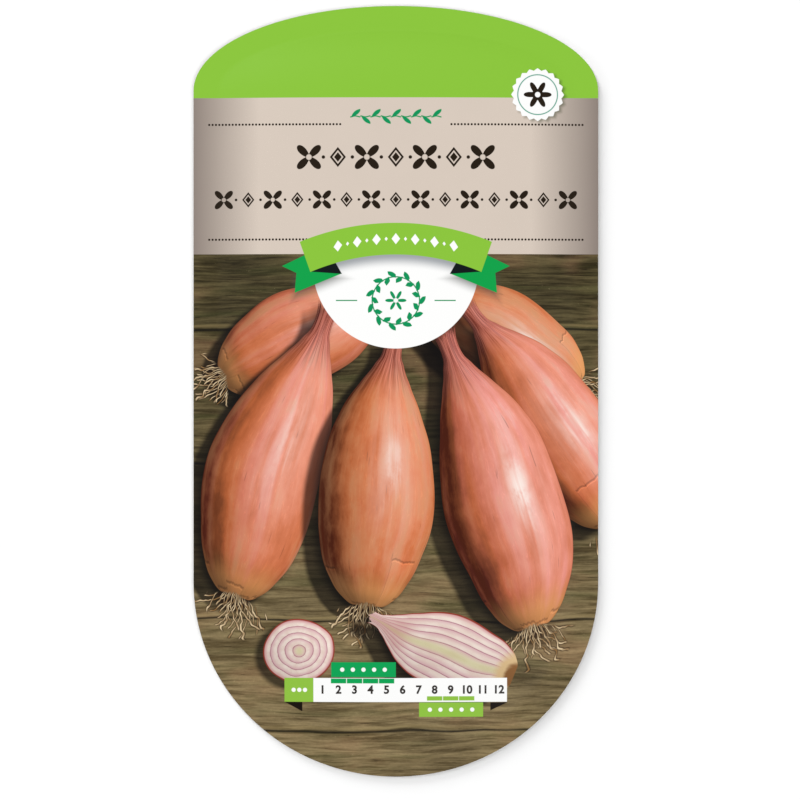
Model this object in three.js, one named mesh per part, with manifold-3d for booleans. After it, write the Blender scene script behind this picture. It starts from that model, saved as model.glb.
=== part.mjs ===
// A flat seed packet with rounded ends, lying on its back with its printed face up.
//
// Two card panels of one outline are sealed together along their rim. Between them lies a
// rectangular film sachet, sealed round its own edge, and the sachet holds the seeds. The back
// panel is flat. The front panel rises in a shallow dome over the sachet.
//
// Units are millimetres. +Z is up, out of the printed face, +Y runs to the packet's top and +X
// to its right. The origin is on the surface that the packet lies on, under its middle.

import * as THREE from "three";
import { mergeVertices } from "three/addons/utils/BufferGeometryUtils.js";
import Module from "manifold-3d";

// ---- Driving dimensions -------------------------------------------------------------------

const WIDTH = 84; // across the straight sides
const HEIGHT = 160; // from the crown of the top arc to the crown of the bottom arc
const TOP_RISE = 17.6; // the top is a low half ellipse
const BOTTOM_RISE = 40.2; // the bottom is almost a half circle
const CARD = 0.3; // thickness of each panel
const SEAL = 5; // width of the sealed rim
const BULGE = 2.9; // how far the front panel rises above its rim
const BULGE_POWER = 2.4; // how full the dome is towards the seal
const BULGE_FADE = 0.22; // share of the rise that is lost at the ends

const SACHET_WIDTH = 60;
const SACHET_HEIGHT = 90;
const SACHET_Y = -4; // the sachet's middle
const SACHET_SEAL = 5; // width of the sachet's sealed border
const FILM = 0.15; // thickness of the sachet's film
const PILLOW = 2; // how far the upper film rises over the seeds
const PILLOW_POWER = 4; // how square the pillow's section is

const SEED_SIZE = [2.5, 1.9, 1.3]; // length, width and depth of a seed
const SEED_PITCH = 3.1; // distance between neighbours in the spread layer
const SEED_SPREAD = [15.5, 24]; // half axes of the patch that the seeds cover
const SEED_PATCH_Y = -7; // the patch's middle
const SEED_BED = 0.45; // depth to which the seeds have settled together
const SEED_CLEAR = 0.05; // gap between the seeds and the lower film
const SEED_DRAW = 7; // start of the seeds' random draw

// ---- Worked out from them -----------------------------------------------------------------

const HALF_WIDTH = WIDTH / 2;
const TOP_CENTRE = HEIGHT / 2 - TOP_RISE; // where the top arc's axes cross
const BOTTOM_CENTRE = -HEIGHT / 2 + BOTTOM_RISE; // where the bottom arc's axes cross
const SACHET_Z = CARD; // the sachet lies on the back panel
const SEEDS_Z = SACHET_Z + FILM + SEED_CLEAR;

// ---- Materials ----------------------------------------------------------------------------

const printedCard = new THREE.MeshStandardMaterial({
  name: "printed_card",
  color: 0xb98f74,
  roughness: 0.42,
});
const plainCard = new THREE.MeshStandardMaterial({
  name: "plain_card",
  color: 0xdccfc0,
  roughness: 0.6,
});
const sachetFilm = new THREE.MeshStandardMaterial({
  name: "sachet_film",
  color: 0xd8d9d6,
  roughness: 0.4,
});
const seedCoat = new THREE.MeshStandardMaterial({
  name: "seed_coat",
  color: 0x1d1a19,
  roughness: 0.8,
});

// ---- Outlines -----------------------------------------------------------------------------

const TOP_STEPS = 26;
const SIDE_STEPS = 9;
const BOTTOM_STEPS = 32;

// The packet's outline, anticlockwise from the right shoulder. Its arcs are drawn in by inset,
// and share says how far each point lies from the packet's spine, 1 being on the outline. The
// spine is the stretch of the middle line between the two arcs' centres.
function packetRing(inset = 0, share = 1) {
  const across = (HALF_WIDTH - inset) * share;
  const ring = [];
  const arc = (centre, rise, from, steps) => {
    for (let i = 0; i <= steps; i++) {
      const angle = from + (Math.PI * i) / steps;
      const x = across * Math.cos(angle);
      const y = centre + (rise - inset) * share * Math.sin(angle);
      ring.push(new THREE.Vector2(Math.abs(x) < 1e-9 ? 0 : x, y));
    }
  };
  const side = (x, from, to) => {
    for (let i = 1; i < SIDE_STEPS; i++) {
      ring.push(new THREE.Vector2(x, from + ((to - from) * i) / SIDE_STEPS));
    }
  };
  arc(TOP_CENTRE, TOP_RISE, 0, TOP_STEPS);
  side(-across, TOP_CENTRE, BOTTOM_CENTRE);
  arc(BOTTOM_CENTRE, BOTTOM_RISE, Math.PI, BOTTOM_STEPS);
  side(across, BOTTOM_CENTRE, TOP_CENTRE);
  return ring;
}

// How far the front panel stands above its rim at a point. It is nothing over the seal.
function domeHeight(x, y) {
  const past = y > TOP_CENTRE ? y - TOP_CENTRE : Math.min(y - BOTTOM_CENTRE, 0);
  const reach = (y > TOP_CENTRE ? TOP_RISE : BOTTOM_RISE) - SEAL;
  const share = Math.min(Math.hypot(x / (HALF_WIDTH - SEAL), past / reach), 1);
  const fade = 1 - BULGE_FADE * ((y - SACHET_Y) / (HEIGHT / 2)) ** 2;
  return BULGE * (1 - share ** BULGE_POWER) * fade;
}

// ---- Solids -------------------------------------------------------------------------------

// A closed sheet of even thickness through nested rings of points, from the rim inwards. The
// last ring has collapsed on a line, so its two sides meet there.
function ringSheet(rings, thickness, heightAt) {
  const count = rings[0].length;
  const positions = [];
  for (const lift of [thickness, 0]) {
    for (const point of rings.flat()) {
      positions.push(point.x, point.y, lift + heightAt(point.x, point.y));
    }
  }
  const below = rings.length * count;
  const index = [];
  for (let ring = 0; ring < rings.length - 1; ring++) {
    for (let i = 0; i < count; i++) {
      const a = ring * count + i;
      const b = ring * count + ((i + 1) % count);
      const c = b + count;
      const d = a + count;
      index.push(a, b, c, a, c, d);
      index.push(below + a, below + c, below + b, below + a, below + d, below + c);
    }
  }
  for (let i = 0; i < count; i++) {
    const next = (i + 1) % count;
    index.push(i, below + i, below + next, i, below + next, next);
  }
  return closed(positions, index);
}

// A geometry with its shared points merged and the triangles that have no area left out.
function closed(positions, index) {
  const loose = new THREE.BufferGeometry();
  loose.setAttribute("position", new THREE.Float32BufferAttribute(positions, 3));
  loose.setIndex(index);
  const merged = mergeVertices(loose, 1e-4);
  const kept = [];
  for (let i = 0; i < merged.index.count; i += 3) {
    const [a, b, c] = [0, 1, 2].map((k) => merged.index.getX(i + k));
    if (a !== b && b !== c && c !== a) kept.push(a, b, c);
  }
  merged.setIndex(kept);
  merged.computeVertexNormals();
  return merged;
}

// A flat sheet cut to an outline.
function flatSheet(outline, thickness) {
  return new THREE.ExtrudeGeometry(new THREE.Shape(outline), {
    depth: thickness,
    bevelEnabled: false,
  });
}

// The sachet's upper film: flat along its sealed border, and a low pillow inside it.
function pillowFilm() {
  const film = new THREE.BoxGeometry(
    SACHET_WIDTH,
    SACHET_HEIGHT,
    FILM,
    SACHET_WIDTH / SACHET_SEAL,
    SACHET_HEIGHT / SACHET_SEAL,
    1,
  );
  film.translate(0, 0, FILM / 2);
  const place = film.getAttribute("position");
  for (let i = 0; i < place.count; i++) {
    const u = Math.min(Math.abs(place.getX(i)) / (SACHET_WIDTH / 2 - SACHET_SEAL), 1);
    const v = Math.min(Math.abs(place.getY(i)) / (SACHET_HEIGHT / 2 - SACHET_SEAL), 1);
    const rise = PILLOW * (1 - u ** PILLOW_POWER) * (1 - v ** PILLOW_POWER);
    place.setZ(i, place.getZ(i) + rise);
  }
  return film;
}

// ---- Seeds --------------------------------------------------------------------------------

const wasm = await Module();
wasm.setup();

// Random numbers from 0 to 1 that are the same on every run.
function drawer(start) {
  let state = start;
  return () => {
    state = (state * 1664525 + 1013904223) % 4294967296;
    return state / 4294967296;
  };
}

function solidFrom(geometry) {
  const bare = geometry.index ? geometry.toNonIndexed() : geometry.clone();
  bare.deleteAttribute("normal");
  bare.deleteAttribute("uv");
  const merged = mergeVertices(bare, 1e-4);
  return new wasm.Manifold(
    new wasm.Mesh({
      numProp: 3,
      vertProperties: merged.getAttribute("position").array,
      triVerts: new Uint32Array(merged.index.array),
    }),
  );
}

function geometryFrom(solid) {
  const mesh = solid.getMesh();
  const geometry = new THREE.BufferGeometry();
  geometry.setAttribute("position", new THREE.BufferAttribute(mesh.vertProperties, 3));
  geometry.setIndex(new THREE.BufferAttribute(mesh.triVerts, 1));
  geometry.computeVertexNormals();
  return geometry;
}

// One angular seed, flat underneath and blunt at one end, lying at a turn of its own.
function seedAt(x, y, draw) {
  const [length, width, depth] = SEED_SIZE;
  const size = 0.88 + 0.2 * draw();
  const seed = new THREE.IcosahedronGeometry(0.5, 0);
  seed.rotateZ(0.4);
  seed.scale(length * size, width * size, depth * size);
  seed.rotateX(0.3 * (draw() - 0.5));
  seed.rotateZ(2 * Math.PI * draw());
  seed.translate(x, y, (depth * size) / 2);
  return seed;
}

// The seeds as they spread when the packet lies flat: one layer, in rows set half a pitch on
// from each other, settled together at the bottom.
function seedLayer() {
  const draw = drawer(SEED_DRAW);
  const [halfX, halfY] = SEED_SPREAD;
  const patch = new THREE.Shape().absellipse(0, 0, halfX, halfY, 0, 2 * Math.PI);
  const bed = flatSheet(patch.getPoints(9), SEED_BED);
  const solids = [solidFrom(bed)];
  const rowPitch = SEED_PITCH * Math.sin(Math.PI / 3);
  const rows = Math.floor(halfY / rowPitch);
  for (let row = -rows; row <= rows; row++) {
    const y = row * rowPitch;
    const reach = halfX * Math.sqrt(1 - (y / halfY) ** 2);
    const shift = row % 2 ? SEED_PITCH / 2 : 0;
    for (let x = -reach + shift / 2; x <= reach; x += SEED_PITCH) {
      const stray = 0.3 * (draw() - 0.5);
      solids.push(solidFrom(seedAt(x + stray, y - stray, draw)));
    }
  }
  return geometryFrom(wasm.Manifold.union(solids));
}

// ---- Assembly -----------------------------------------------------------------------------

const packet = new THREE.Group();

function place(name, geometry, material, z, y = 0) {
  const mesh = new THREE.Mesh(geometry, material);
  mesh.name = name;
  mesh.position.set(0, y, z);
  packet.add(mesh);
}

// Shares of the way from the spine to the seal at which the dome has a ring of points.
const DOME_SHARES = [1, 0.93, 0.84, 0.72, 0.57, 0.4, 0.2, 0];
const domeRings = [packetRing(), ...DOME_SHARES.map((share) => packetRing(SEAL, share))];

const sachetOutline = [
  [-1, -1],
  [1, -1],
  [1, 1],
  [-1, 1],
].map(([x, y]) => new THREE.Vector2((x * SACHET_WIDTH) / 2, (y * SACHET_HEIGHT) / 2));

place("back_panel", flatSheet(packetRing(), CARD), plainCard, 0);
place("front_panel", ringSheet(domeRings, CARD, domeHeight), printedCard, CARD);
place("sachet_back", flatSheet(sachetOutline, FILM), sachetFilm, SACHET_Z, SACHET_Y);
place("sachet_front", pillowFilm(), sachetFilm, SACHET_Z + FILM, SACHET_Y);
place("seeds", seedLayer(), seedCoat, SEEDS_Z, SEED_PATCH_Y);

export default packet;
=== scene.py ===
"""A flat seed packet with rounded ends, lying on its back with its printed face up.

The card is modelled as two cut sheets, a flat one behind and a domed one in front. What is printed
on it, apart from the months' numbers, is worked out by nodes from the place on the card, in
millimetres, with x to the right, y to the packet's top and the packet's middle at 0, 0.
"""

import math

import bmesh
import bpy
from mathutils import Matrix, Vector


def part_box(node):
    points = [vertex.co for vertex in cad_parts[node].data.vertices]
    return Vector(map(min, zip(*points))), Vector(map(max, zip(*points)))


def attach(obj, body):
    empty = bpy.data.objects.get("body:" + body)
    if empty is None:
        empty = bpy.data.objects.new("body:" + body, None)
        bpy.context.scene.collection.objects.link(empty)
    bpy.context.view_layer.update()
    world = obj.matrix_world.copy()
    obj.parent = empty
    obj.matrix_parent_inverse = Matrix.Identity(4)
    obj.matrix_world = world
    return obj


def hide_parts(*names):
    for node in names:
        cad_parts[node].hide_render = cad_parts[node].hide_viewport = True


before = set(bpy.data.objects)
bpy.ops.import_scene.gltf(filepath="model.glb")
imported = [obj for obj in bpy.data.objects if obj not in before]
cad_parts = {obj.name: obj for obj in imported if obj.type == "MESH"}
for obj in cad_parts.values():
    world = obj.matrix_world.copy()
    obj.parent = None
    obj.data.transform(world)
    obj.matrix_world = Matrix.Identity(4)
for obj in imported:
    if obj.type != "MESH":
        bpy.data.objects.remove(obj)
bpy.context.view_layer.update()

MM = 0.001

# ---- The card's form, in millimetres ----

FRONT_LOW, FRONT_HIGH = (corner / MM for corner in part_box("front_panel"))
BACK_LOW, BACK_HIGH = (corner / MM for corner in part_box("back_panel"))
HALF_WIDTH = FRONT_HIGH.x
HALF_HEIGHT = FRONT_HIGH.y
CARD = BACK_HIGH.z - BACK_LOW.z  # thickness of each card
TOP_RISE = 17.6  # the top is a low half ellipse
BOTTOM_RISE = 40.2  # the bottom is almost a half circle
SEAL = 5  # width of the sealed rim
BULGE = 2.9  # how far the front card rises above its rim
BULGE_POWER = 2.4  # how flat the dome's middle is
BULGE_FADE = 0.22  # how much lower the dome is at the packet's far end
SACHET_Y = -4  # the sachet's middle, where the dome is highest
TOP_CENTRE = HALF_HEIGHT - TOP_RISE
BOTTOM_CENTRE = BOTTOM_RISE - HALF_HEIGHT

# ---- The print's layout, in millimetres ----

CROWN_FOOT = 60.85  # the green crown's lower edge
BAND_FOOT = 28.42  # the taupe band's lower edge
BAND_EVEN = 28.2  # how far from the middle the band keeps its tone
BOARD_JOINTS = (-70.5, -47.5, -15, 12.6)  # gaps between the pictured boards

# ---- Inks, as they look in even light ----

LIGHT_LEVEL = 1.22  # how bright a white surface is in the studio's light
HAZE = 0.0085  # what the varnish mirrors of the studio


def ink(*tones):
    """The shader colour that a printed red, green and blue of 0 to 255 have."""
    shares = (tone / 255 for tone in tones)
    levels = (s / 12.92 if s <= 0.04045 else ((s + 0.055) / 1.055) ** 2.4 for s in shares)
    return (*(max(level - HAZE, 0) / LIGHT_LEVEL for level in levels), 1)


WHITE = ink(255, 255, 254)
LEAF_GREEN = ink(141, 199, 64)
SPRING_GREEN = ink(146, 196, 71)
DEEP_GREEN = ink(2, 164, 77)
SIGN_GREEN = ink(0, 150, 92)
TEAL = ink(30, 150, 120)
TAUPE = ink(217, 203, 190)
TAUPE_EDGE = ink(145, 133, 125)
PALE = ink(246, 242, 234)
GREY = ink(196, 190, 182)
GREY_INK = ink(150, 143, 135)
DARK = ink(42, 34, 26)
NIGHT = ink(20, 22, 18)


# ---- Fields: what changes over a surface ----

EDGE = 0.06  # how soft a printed edge is, in millimetres
FINE = 0.05  # and where it is finer


def connect(value, socket):
    """Feeds an input from a field or a plain value."""
    if isinstance(value, Field):
        socket.id_data.links.new(value.socket, socket)
    else:
        socket.default_value = value


def feed(node, values):
    """Feeds a node's named inputs."""
    for label, value in values.items():
        connect(value, node.inputs[label])


def add_node(tree, kind, *values, **settings):
    """Adds a node to a tree with its settings, and feeds its first inputs."""
    node = tree.nodes.new(f"ShaderNode{kind}")
    for name, setting in settings.items():
        setattr(node, name, setting)
    for value, socket in zip(values, node.inputs):
        connect(value, socket)
    return node


def joined_by(operation):
    """A method that joins a field and another value by a Math node."""
    return lambda field, other: field.math(operation, other)


class Field:
    """A number, place or colour at each point of a surface. Arithmetic adds Math nodes."""

    def __init__(self, socket):
        self.socket, self.tree = socket, socket.id_data

    def math(self, operation, *others):
        return Field(add_node(self.tree, "Math", self, *others, operation=operation).outputs[0])

    __add__ = __radd__ = joined_by("ADD")
    __sub__ = joined_by("SUBTRACT")
    __mul__ = __rmul__ = joined_by("MULTIPLY")
    __truediv__ = joined_by("DIVIDE")
    __pow__ = joined_by("POWER")
    least = joined_by("MINIMUM")
    most = joined_by("MAXIMUM")

    def __rsub__(self, other):
        return self * -1 + other

    def __abs__(self):
        return self.math("ABSOLUTE")

    def __neg__(self):
        return self * -1

    def step(self, low, high):
        """0 below low, 1 above high and a smooth rise between. High may lie below low."""
        ends = (low, high, 0, 1)
        node = add_node(self.tree, "MapRange", self, *ends, interpolation_type="SMOOTHSTEP")
        return Field(node.outputs[0])

    def edged(self, soft=EDGE):
        """1 above 0 and 0 below it, with an edge that is soft for a little on both sides."""
        return self.step(-soft, soft)

    def spread(self, low, high):
        """Low where the field is 0 and high where it is 1."""
        return self * (high - low) + low

    def peak(self, centre, width):
        """1 at the centre, falling smoothly to 0 at width away from it."""
        return abs(self - centre).step(width, 0)


def heading(degrees):
    """How far right and up a line of length 1 goes."""
    return math.cos(math.radians(degrees)), math.sin(math.radians(degrees))


def root_of_sum(a, b):
    """The distance that two lengths at right angles make."""
    return (a * a + b * b).math("SQRT")


def vector(x, y, z=0):
    return Field(add_node(x.tree, "CombineXYZ", x, y, z).outputs[0])


def noise(place, scale=1, detail=2, roughness=0.5):
    """Perlin noise round 0.5, at a place or along a number."""
    node = add_node(place.tree, "TexNoise")
    if place.socket.type == "VALUE":
        node.noise_dimensions, place = "2D", vector(place, 0)
    feed(node, {"Vector": place, "Scale": scale, "Detail": detail, "Roughness": roughness})
    return Field(node.outputs[0])


def profile(share, points):
    """A smooth curve through the points, read at share. The first two points are its ends."""
    node = add_node(share.tree, "FloatCurve")
    spots = node.mapping.curves[0].points
    for spot, point in zip(spots, points[:2]):
        spot.location = point
    for point in points[2:]:
        spots.new(*point)
    node.mapping.update()
    connect(share, node.inputs["Value"])
    return Field(node.outputs[0])


def blend_inks(share, below, above, clamp=True):
    """One colour where share is 0 and another where it is 1."""
    node = add_node(share.tree, "Mix", data_type="RGBA", clamp_factor=clamp)
    for number, value in ((0, share), (6, below), (7, above)):
        connect(value, node.inputs[number])
    return Field(node.outputs[2])


def overlaid(colour, *coats):
    """A colour with coats laid over it in turn, each a share and a tone."""
    for share, tone in coats:
        colour = blend_inks(share, colour, tone)
    return colour


def toned(share, tones):
    """Colours that run into each other at TONE_PLACES, as share goes from 0 to 1."""
    node = add_node(share.tree, "ValToRGB", share)
    spots = node.color_ramp.elements
    for number, (place, colour) in enumerate(zip(TONE_PLACES, tones)):
        spot = spots[number] if number < 2 else spots.new(place)
        spot.position, spot.color = place, colour
    return Field(node.outputs[0])


def tinted(colour, factor):
    """A colour made brighter or darker by a field."""
    return blend_inks(factor, (0, 0, 0, 1), colour, clamp=False)


# ---- Node groups ----


def new_group(name, inputs, outputs=("Colour", "Mask")):
    """An empty node group with float inputs. Gives its inputs as fields, and its output node."""
    tree = bpy.data.node_groups.new(name, "ShaderNodeTree")
    for label in inputs:
        tree.interface.new_socket(label, in_out="INPUT", socket_type="NodeSocketFloat")
    for label in outputs:
        kind = "NodeSocketColor" if label == "Colour" else "NodeSocketFloat"
        tree.interface.new_socket(label, in_out="OUTPUT", socket_type=kind)
    entry = tree.nodes.new("NodeGroupInput")
    leaving = tree.nodes.new("NodeGroupOutput")
    return [Field(entry.outputs[label]) for label in inputs], leaving


def finish_group(leaving, *results):
    """Feeds a group's outputs in their order, and gives the group."""
    for value, socket in zip(results, leaving.inputs):
        connect(value, socket)
    return leaving.id_data


def placed(group, *values):
    """Puts a group in a tree, feeds its inputs in their order, and gives its outputs."""
    node = add_node(values[0].tree, "Group", *values, node_tree=group)
    return [Field(output) for output in node.outputs]


PLACE_INPUTS = ("X", "Y", "Root X", "Root Y", "Along X", "Along Y")
SHALLOT_INPUTS = (*PLACE_INPUTS, "Length", "Girth", "Bend", "Draw")
# The half width of a whole shallot from its root plate, 0, to the tip of its neck, 1.
SHALLOT_PROFILE = (
    *((0, 0.24), (1, 0.2), (0.02, 0.4), (0.08, 0.64), (0.2, 0.88), (0.36, 1)),
    *((0.54, 0.93), (0.7, 0.7), (0.81, 0.43), (0.88, 0.25), (0.94, 0.16)),
)
PROFILE_STEP = 0.02  # how far apart the profile is read for its slope
PICTURE_LIGHT = (0.55, 0.36, 0.75)  # towards the light: right, up the packet, out of it
# length of the sum of the ways to the light and to the eye
SHINE_LENGTH = math.hypot(*PICTURE_LIGHT[:2], PICTURE_LIGHT[2] + 1)
SHADOW_SHIFT = (-3.4, -2.4)  # how far the shadows fall, in millimetres
SHADOW_COATS = ((1, 0.7, 0.82), (0.3, 1.6, 0.85))  # share of the shift, blur and strength
# Skin tones from deep shade, 0, to full light, 1; the two ends come first.
TONE_PLACES = (0, 1, 0.16, 0.36, 0.56, 0.78)
COPPER_TONES = (
    *(ink(74, 34, 20), ink(250, 194, 166), ink(122, 66, 40)),
    *(ink(178, 96, 56), ink(210, 118, 74), ink(239, 149, 112)),
)
ROSE_TONES = (
    *(ink(80, 36, 30), ink(252, 206, 198), ink(128, 66, 50)),
    *(ink(186, 100, 76), ink(217, 132, 112), ink(243, 158, 146)),
)
# painted shade under and between the roots
ROOT_SHADE = ink(44, 28, 16)  # between the roots
# Each brush of roots: strands to a radian, turn, bend to a millimetre, and half width of a strand
# as a share of its lane.
ROOT_BRUSHES = ((10, 0, -0.05, 0.17), (7, 2.9, 0.06, 0.15), (5.5, 6.2, 0, 0.13))


def shallot_place(x, y, root_x, root_y, along_x, along_y, length, girth, bend, draw):
    """A point's share of the way along a pictured shallot, its distance to the side, and the
    shallot's half width there, in millimetres."""
    ahead, aside = x - root_x, y - root_y
    share = (ahead * along_x + aside * along_y) / length
    side = aside * along_x - ahead * along_y
    sway = noise(share * 2.4 + draw, 1, 0) * 3.2 - 1.6
    side = side - bend * (share * (1 - share)) * 4 - sway * share.step(0, 0.3)
    return share, side, profile(share, SHALLOT_PROFILE) * girth


def make_shadow_group():
    """The soft shadow that a shallot casts on what it lies on."""
    (*fields, blur), leaving = new_group("pictured_shadow", (*SHALLOT_INPUTS, "Blur"), ["Shade"])
    share, side, half = shallot_place(*fields)
    shade = (half - abs(side)).edged(blur)
    return finish_group(leaving, shade * share.step(-0.03, 0.02) * share.step(1.04, 0.96))


def make_shallot_group():
    """A whole shallot lying on its side, with its dry neck and its tuft of roots."""
    (*fields, pink), leaving = new_group("pictured_shallot", (*SHALLOT_INPUTS, "Pink"))
    along_x, along_y, length, girth, _, draw = fields[4:]
    share, side, half = shallot_place(*fields)
    across = (side / half).most(-0.999).least(0.999)
    round_up = (1 - across * across).math("SQRT")
    ahead = profile(share + PROFILE_STEP, SHALLOT_PROFILE) * girth
    slope = (ahead - half) / (length * PROFILE_STEP)
    tilt = (slope * slope + 1).math("SQRT")
    turn = across.math("ARCSINE")

    # the light, in the shallot's own directions, and how near its mirror image is to the eye
    light_x, light_y, light_up = PICTURE_LIGHT
    light_along = along_x * light_x + along_y * light_y
    light_across = along_x * light_y - along_y * light_x
    lit, shine = (
        (across * light_across + round_up * up - slope * light_along) / tilt
        for up in (light_up, light_up + 1)
    )
    gloss = (shine / SHINE_LENGTH).most(0)

    # smooth skin in broad zones, with faint streaks from the root plate to the neck
    place = vector(turn * 5, share * 2, draw)
    zones = noise(place, 0.36)
    streaks = noise(place, 1, 3, 0.55)
    veins = noise(place, 3.4)
    mottle = noise(vector(turn * girth, share * length * 0.6, draw), 0.2, 4, 0.6)
    level = lit.most(lit * 0.25) * 0.74 + zones * 0.4 + streaks * 0.2 + mottle * 0.46 - 0.45
    rosy = zones.step(0.4, 0.62) * 0.7 + pink + lit * 0.5 - 0.75
    skin = blend_inks(rosy, toned(level, COPPER_TONES), toned(level, ROSE_TONES))
    shade = lit.step(-0.3, 1).spread(0.22, 1.02)

    # patches of a thin tan film, a warm foot round the roots, and the neck, dry and dark red
    film = (mottle + zones + streaks * 0.5 - pink * 0.35).step(0.96, 1.5) * 0.8
    foot = (share + zones * 0.1).step(0.19, 0.07) * 0.72
    neck = share.step(0.74, 0.92)
    dry_neck = blend_inks(veins.step(0.35, 0.65), ink(104, 34, 34), ink(222, 132, 116))
    for coat, tone in (
        (film, ink(208, 147, 103)),
        (foot, ink(224, 160, 98)),
        (neck * 0.85, dry_neck),
    ):
        skin = blend_inks(coat, skin, tinted(tone, shade))

    # flaps of the outer skin that are torn off short, each with a painted highlight and painted
    # shadow lines along its edges, pale veins and dark specks
    flap = turn * 1.5 + draw
    number = flap.math("FLOOR")
    height = noise(number * 7.3 + draw, 1, 0).step(0.42, 0.72)
    past = height * 0.17 + streaks * 0.03 - 0.012 - share
    beside = abs(flap - number - 0.5)
    edges = past.peak(0.003, 0.004) * 0.3 - past.peak(-0.005, 0.006) * 0.42
    edges = edges - beside.step(0.47, 0.5) * past.step(-0.01, 0.004) * 0.4
    on_flap = past.step(0, 0.004) * 0.1
    marks = veins.peak(0.5, 0.02) * 0.12 - veins.step(0.7, 0.74) * 0.35
    body = tinted(skin, edges + on_flap + marks + 1)

    broken = streaks.step(0.33, 0.6)
    wide_part = share.peak(0.36, 0.42)
    glint = gloss**110 * (broken * 0.85 + 0.12) * mottle.step(0.36, 0.56) * wide_part
    sheen = gloss**14 * (broken * 0.26 + 0.06) * wide_part.spread(0.5, 1)
    body = blend_inks((glint + sheen) * (1 - neck * 0.8), body, ink(255, 238, 230))

    ragged = veins * 0.16
    inside = (half - abs(side)).edged(0.07)
    inside = inside * share.step(-0.002, 0.004) * (share + ragged).step(1.085, 1.075)

    # roots: brushes of fine curly strands from the root plate, over a mat of painted shade, with a
    # painted shadow beside each strand
    back, tuft = -(share * length), girth * 0.62
    reach = root_of_sum(back, side)
    bearing = side.math("ARCTAN2", back + 4.5)
    below = (back + 1.1 - abs(side) * 0.3).step(0, 0.8)
    shade_under_roots = (reach - tuft * 0.5).step(1.8, -1.8) * below * 0.85
    body = blend_inks(inside, ROOT_SHADE, body)
    mask = inside.most(shade_under_roots)
    for count, lag, bend, cut in ROOT_BRUSHES:
        lane = (bearing + reach * bend + lag) * count
        number = lane.math("FLOOR")
        strand = number * 5.37 + draw + lag
        wiggle = noise(vector(strand, reach * 0.5), 1, 1) - 0.5
        grown = noise(strand, 1, 0).step(0.3, 0.7)
        within = (reach - tuft * grown.spread(0.35, 1.2)).step(0.2, -0.3) * below
        aside = abs(lane - number - 0.5 - wiggle * 1.4)
        # a painted shadow beside each strand, under its pale line
        under = aside.step(cut * 2.2, cut) * within * 0.7
        line = aside.step(cut, cut * 0.4) * within
        hair = blend_inks(wiggle.step(-0.2, 0.2), ink(138, 104, 64), ink(228, 204, 164))
        body = overlaid(body, (under, ROOT_SHADE), (line, hair))
        mask = mask.most(under).most(line)
    return finish_group(leaving, body, mask)


SKIN_LAYERS = 5  # layers from the middle of a cut shallot to its rim


def flesh(ring, place):
    """Cut flesh: pale layers with thin purple skins between them. Ring is 0 in the middle of the
    cut and 1 at its rim."""
    grain = noise(place, 0.55, 4, 0.6)
    level = (ring + grain * 0.035 + noise(place, 0.22, 1) * 0.1 - 0.05) * SKIN_LAYERS
    layer = level - level.math("FLOOR")
    return overlaid(
        blend_inks(grain.step(0.3, 0.7), ink(232, 208, 196), ink(246, 230, 218)),
        (layer.step(0.3, 1) * 0.7, ink(214, 160, 172)),
        (layer.peak(1, 0.16) * 0.8, ink(150, 70, 100)),
        (layer.peak(0, 0.1) * 0.4, ink(190, 130, 150)),
        (ring.step(0.22, 0.02) * 0.6, ink(206, 204, 138)),
        (ring.step(0.86, 0.96) * 0.4, ink(214, 140, 130)),
        (ring.step(0.95, 0.975), ink(150, 62, 48)),
    )


def make_half_group():
    """Half a shallot, cut from its roots to its neck, with the cut face up."""
    fields, leaving = new_group("pictured_half", SHALLOT_INPUTS)
    along_x, along_y, length, _, _, draw = fields[4:]
    share, side, half = shallot_place(*fields)
    ring = abs(side) / half
    place = vector(side, share * length * 0.35, draw)
    base = root_of_sum(share * length, side * 0.75) + noise(place, 0.9)
    heart = share.step(0.62, 0.8) * ring.step(1, 0.5)
    colour = overlaid(
        flesh(ring, place),
        (base.step(5.6, 3.4), ink(222, 190, 142)),
        (base.step(3, 2), ink(142, 98, 58)),
        (heart * 0.5, ink(196, 132, 128)),
    )
    # painted light and shade: the cut face is lighter towards the picture's light and darker away
    # from it
    light_x, light_y, _ = PICTURE_LIGHT
    across = side * (along_x * light_y - along_y * light_x) / half
    colour = tinted(colour, across.step(-1.1, 1.1).spread(0.72, 1.04))
    inside = (half - abs(side)).edged(0.07) * share.step(-0.002, 0.004)
    inside = inside * (share + noise(side + draw, 0.9) * 0.1).step(1.03, 1.02)
    return finish_group(leaving, colour, inside)


def make_slice_group():
    """Half a shallot, cut across, with its rings showing."""
    (x, y, centre_x, centre_y, radius, draw), leaving = new_group(
        "pictured_slice",
        ("X", "Y", "Centre X", "Centre Y", "Radius", "Draw"),
        ("Colour", "Mask", "Shade"),
    )
    across, up = x - centre_x, y - centre_y
    place = vector(across, up, draw)
    uneven = (noise(place, 0.12, 1) - 0.5) * 0.22 + 1
    ring = root_of_sum(across, up * 1.08) / radius * uneven
    shade = (across * 0.5 + up * 0.4).step(-7, 6).spread(0.72, 1.04)
    cast_x, cast_y = (away * 0.5 for away in SHADOW_SHIFT)
    cast = root_of_sum(across - cast_x, up * 1.08 - cast_y) / radius
    colour = tinted(flesh(ring, place), shade)
    return finish_group(leaving, colour, ring.step(1.01, 0.99), cast.step(1.12, 0.92))


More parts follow.
